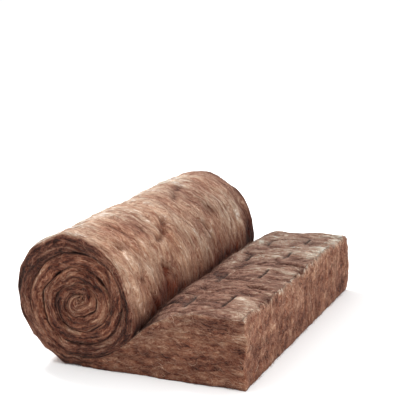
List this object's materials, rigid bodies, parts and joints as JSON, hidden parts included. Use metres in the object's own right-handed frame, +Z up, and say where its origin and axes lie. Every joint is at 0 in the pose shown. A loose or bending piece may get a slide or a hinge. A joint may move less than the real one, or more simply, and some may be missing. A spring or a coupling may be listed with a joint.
{
  "type": "mineral wool insulation roll",
  "caption": "Brown mineral wool insulation mat, partly unrolled: a spiral roll with a thick flat tail that ends in a straight cut.",
  "frame": {"origin": "on the floor, under the middle of the mat's bounding box", "axes": "+X from the roll towards the cut end of the tail, +Y along the roll, across the mat's width, +Z up"},
  "size_m": [0.829, 1.2, 0.4487],
  "materials": {
    "mineral_wool": "matt, fibrous, brown glass mineral wool"
  },
  "bodies": {
    "root": {"wool_mat": "mineral_wool"}
  },
  "joints": []
}
